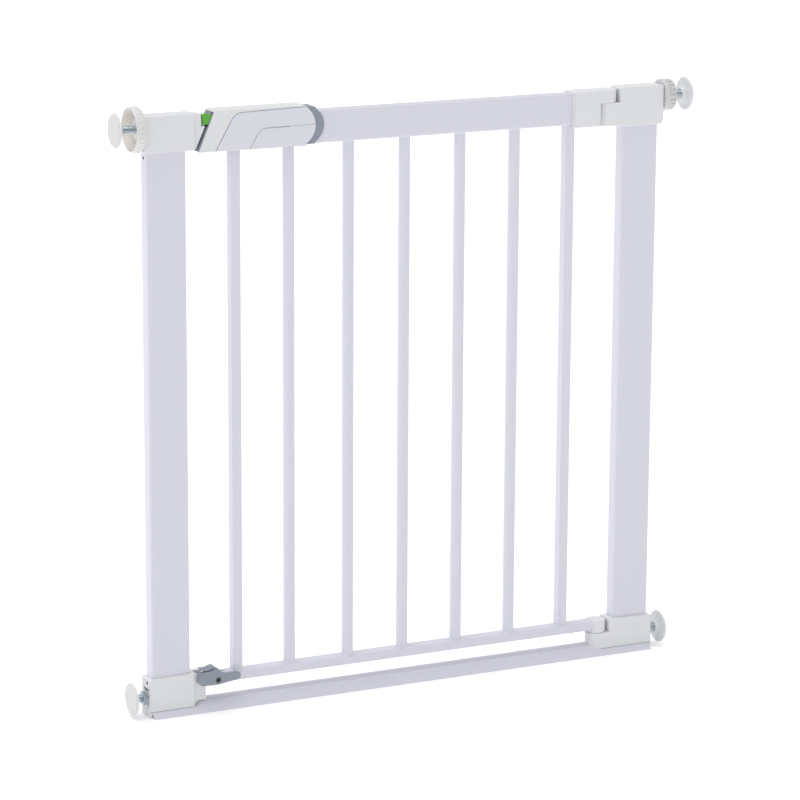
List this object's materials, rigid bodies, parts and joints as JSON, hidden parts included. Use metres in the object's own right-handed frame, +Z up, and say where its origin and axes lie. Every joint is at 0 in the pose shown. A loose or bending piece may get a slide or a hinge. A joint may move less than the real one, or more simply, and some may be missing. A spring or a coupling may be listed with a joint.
{
  "type": "stair gate",
  "caption": "Pressure-fit stair gate: U-shaped steel frame with screw wall pads, and a barred leaf with a sliding latch handle, lift-off keeper, pin hinges and a stop lever.",
  "frame": {"origin": "middle of the floor bar's flat underside, on the floor, midway between the posts", "axes": "+X along the gate from the latch side to the hinge side, -Y towards the side the leaf opens to, +Z up"},
  "size_m": [0.803, 0.0564, 0.7784],
  "materials": {
    "painted_steel": "gloss white powder coat, slightly cool",
    "white_plastic": "fine satin moulding",
    "zinc_plated_steel": "bright zinc plate",
    "natural_plastic": "matt",
    "wheel_plastic": "matt, warm grey inside the cup",
    "soft_facing": "soft matt",
    "grey_plastic": "satin",
    "green_plastic": "gloss",
    "blackened_steel": "dark oxide"
  },
  "bodies": {
    "frame": {"left_post": "painted_steel", "right_post": "painted_steel", "floor_bar": "painted_steel", "latch_housing_front": "white_plastic", "latch_housing_back": "white_plastic", "strike_plate": "zinc_plated_steel", "housing_screws": "zinc_plated_steel", "hinge_housing_front": "white_plastic", "hinge_housing_back": "white_plastic", "lower_latch_bracket": "white_plastic", "lower_hinge_bracket": "white_plastic", "bracket_screws": "zinc_plated_steel", "upper_left_guide": "natural_plastic", "upper_right_guide": "natural_plastic", "lower_left_guide": "natural_plastic", "lower_right_guide": "natural_plastic"},
    "upper_left_screw": {"upper_left_spindle": "zinc_plated_steel", "upper_left_pad": "white_plastic", "upper_left_facing": "soft_facing"},
    "upper_right_screw": {"upper_right_spindle": "zinc_plated_steel", "upper_right_pad": "white_plastic", "upper_right_facing": "soft_facing"},
    "lower_left_screw": {"lower_left_spindle": "zinc_plated_steel", "lower_left_pad": "white_plastic", "lower_left_facing": "soft_facing"},
    "lower_right_screw": {"lower_right_spindle": "zinc_plated_steel", "lower_right_pad": "white_plastic", "lower_right_facing": "soft_facing"},
    "upper_left_handwheel": {"upper_left_wheel": "wheel_plastic"},
    "upper_right_handwheel": {"upper_right_wheel": "wheel_plastic"},
    "lower_left_lock_nut": {"lower_left_nut": "zinc_plated_steel"},
    "lower_right_lock_nut": {"lower_right_nut": "zinc_plated_steel"},
    "hinge_pins": {"upper_hinge_pin": "zinc_plated_steel", "lower_hinge_pin": "zinc_plated_steel"},
    "leaf": {"top_rail": "painted_steel", "bottom_rail": "painted_steel", "latch_stile": "painted_steel", "hinge_stile": "painted_steel", "bar_2": "painted_steel", "bar_3": "painted_steel", "bar_4": "painted_steel", "bar_5": "painted_steel", "bar_6": "painted_steel", "leaf_hinge_front": "white_plastic", "leaf_hinge_back": "white_plastic", "leaf_hinge_screws": "zinc_plated_steel", "lower_hinge_plug": "white_plastic", "rail_plugs": "white_plastic", "handle_base": "grey_plastic", "spring_stop": "natural_plastic", "return_spring": "zinc_plated_steel", "end_stud": "white_plastic", "lever_screw": "blackened_steel"},
    "handle": {"handle_front": "white_plastic", "handle_back": "white_plastic", "grip_panel": "white_plastic", "handle_screws": "zinc_plated_steel", "latch_tongue": "zinc_plated_steel", "lock_indicator": "green_plastic"},
    "lever": {"stop_lever": "grey_plastic"}
  },
  "joints": [
    {"name": "leaf_lift", "type": "slide", "parent": "frame", "child": "hinge_pins", "axis": [0, 0, 1], "range_m": [0, 0.0045]},
    {"name": "leaf_swing", "type": "hinge", "parent": "hinge_pins", "child": "leaf", "pos_m": [0.285, 0, 0.4], "axis": [0, 0, 1], "range_deg": [0, 90]},
    {"name": "handle_slide", "type": "slide", "parent": "leaf", "child": "handle", "axis": [1, 0, 0], "range_m": [0, 0.014], "stiffness_N_per_m": 350, "springref_m": -0.012, "deforming": ["return_spring"]},
    {"name": "stop_lever_turn", "type": "hinge", "parent": "leaf", "child": "lever", "pos_m": [-0.271, 0, 0.0402], "axis": [0, 1, 0], "range_deg": [0, 40]},
    {"name": "upper_left_turn", "type": "hinge", "parent": "frame", "child": "upper_left_handwheel", "pos_m": [-0.37, 0, 0.75], "axis": [-1, 0, 0], "range_deg": [-1920, 3840]},
    {"name": "upper_left_slide", "type": "slide", "parent": "frame", "child": "upper_left_screw", "axis": [-1, 0, 0], "range_m": [-0.016, 0.008]},
    {"name": "upper_right_turn", "type": "hinge", "parent": "frame", "child": "upper_right_handwheel", "pos_m": [0.37, 0, 0.75], "axis": [1, 0, 0], "range_deg": [-1200, 2880]},
    {"name": "upper_right_slide", "type": "slide", "parent": "frame", "child": "upper_right_screw", "axis": [1, 0, 0], "range_m": [-0.012, 0.005]},
    {"name": "lower_left_turn", "type": "hinge", "parent": "frame", "child": "lower_left_lock_nut", "pos_m": [-0.37, 0, 0.024], "axis": [-1, 0, 0], "range_deg": [-3600, 960]},
    {"name": "lower_left_slide", "type": "slide", "parent": "frame", "child": "lower_left_screw", "axis": [-1, 0, 0], "range_m": [-0.004, 0.015]},
    {"name": "lower_right_turn", "type": "hinge", "parent": "frame", "child": "lower_right_lock_nut", "pos_m": [0.37, 0, 0.024], "axis": [1, 0, 0], "range_deg": [-3600, 960]},
    {"name": "lower_right_slide", "type": "slide", "parent": "frame", "child": "lower_right_screw", "axis": [1, 0, 0], "range_m": [-0.004, 0.015]}
  ],
  "couplings": [
    {"joint": "upper_left_turn", "follows": "upper_left_slide", "rad_per_m": -4188.8},
    {"joint": "upper_right_turn", "follows": "upper_right_slide", "rad_per_m": -4188.8},
    {"joint": "lower_left_turn", "follows": "lower_left_slide", "rad_per_m": -4188.8},
    {"joint": "lower_right_turn", "follows": "lower_right_slide", "rad_per_m": -4188.8}
  ]
}
